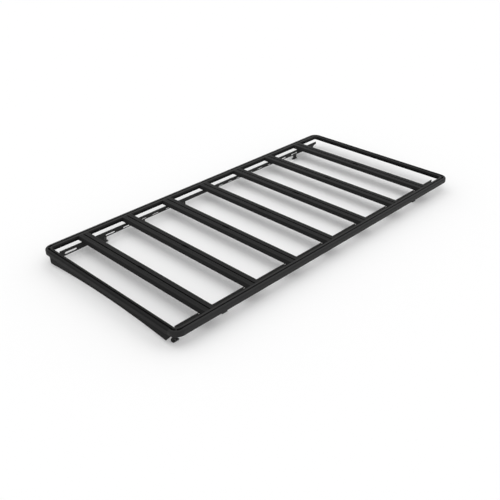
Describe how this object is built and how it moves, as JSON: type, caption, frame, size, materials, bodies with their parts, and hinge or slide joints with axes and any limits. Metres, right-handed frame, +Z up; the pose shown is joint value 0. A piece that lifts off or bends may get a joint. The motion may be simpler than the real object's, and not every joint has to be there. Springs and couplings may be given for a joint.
{
  "type": "flat platform roof rack",
  "caption": "Flat black platform roof rack: slotted perimeter rails with cast corners, T-slot cross slats, slotted mounting rails on feet and a front wind fairing.",
  "frame": {"origin": "on the floor under the centre of the rack, in the plane of the feet's undersides", "axes": "+Z up, +Y towards the rear along the rack's length, +X across the rack; the front with the wind fairing faces -Y"},
  "size_m": [1.165, 2.368, 0.092],
  "materials": {
    "rail_coat": "black powder coat on aluminium extrusion, fine satin texture",
    "slat_coat": "black powder coat on aluminium extrusion, fine satin texture",
    "corner_coat": "black powder coat on cast aluminium",
    "bracket_coat": "black powder coat on steel plate",
    "fairing_coat": "black powder coat on aluminium sheet"
  },
  "bodies": {
    "root": {"front_rail": "rail_coat", "rear_rail": "rail_coat", "left_side_rail": "rail_coat", "right_side_rail": "rail_coat", "front_left_corner": "corner_coat", "front_right_corner": "corner_coat", "rear_left_corner": "corner_coat", "rear_right_corner": "corner_coat", "slat_1": "slat_coat", "slat_2": "slat_coat", "slat_3": "slat_coat", "slat_4": "slat_coat", "slat_5": "slat_coat", "slat_6": "slat_coat", "slat_7": "slat_coat", "left_mounting_rail": "bracket_coat", "right_mounting_rail": "bracket_coat", "slat_1_left_bracket": "bracket_coat", "slat_1_right_bracket": "bracket_coat", "slat_2_left_bracket": "bracket_coat", "slat_2_right_bracket": "bracket_coat", "slat_3_left_bracket": "bracket_coat", "slat_3_right_bracket": "bracket_coat", "slat_4_left_bracket": "bracket_coat", "slat_4_right_bracket": "bracket_coat", "slat_5_left_bracket": "bracket_coat", "slat_5_right_bracket": "bracket_coat", "slat_6_left_bracket": "bracket_coat", "slat_6_right_bracket": "bracket_coat", "slat_7_left_bracket": "bracket_coat", "slat_7_right_bracket": "bracket_coat", "front_left_foot": "bracket_coat", "front_right_foot": "bracket_coat", "middle_left_foot": "bracket_coat", "middle_right_foot": "bracket_coat", "rear_left_foot": "bracket_coat", "rear_right_foot": "bracket_coat", "wind_fairing": "fairing_coat"}
  },
  "joints": []
}
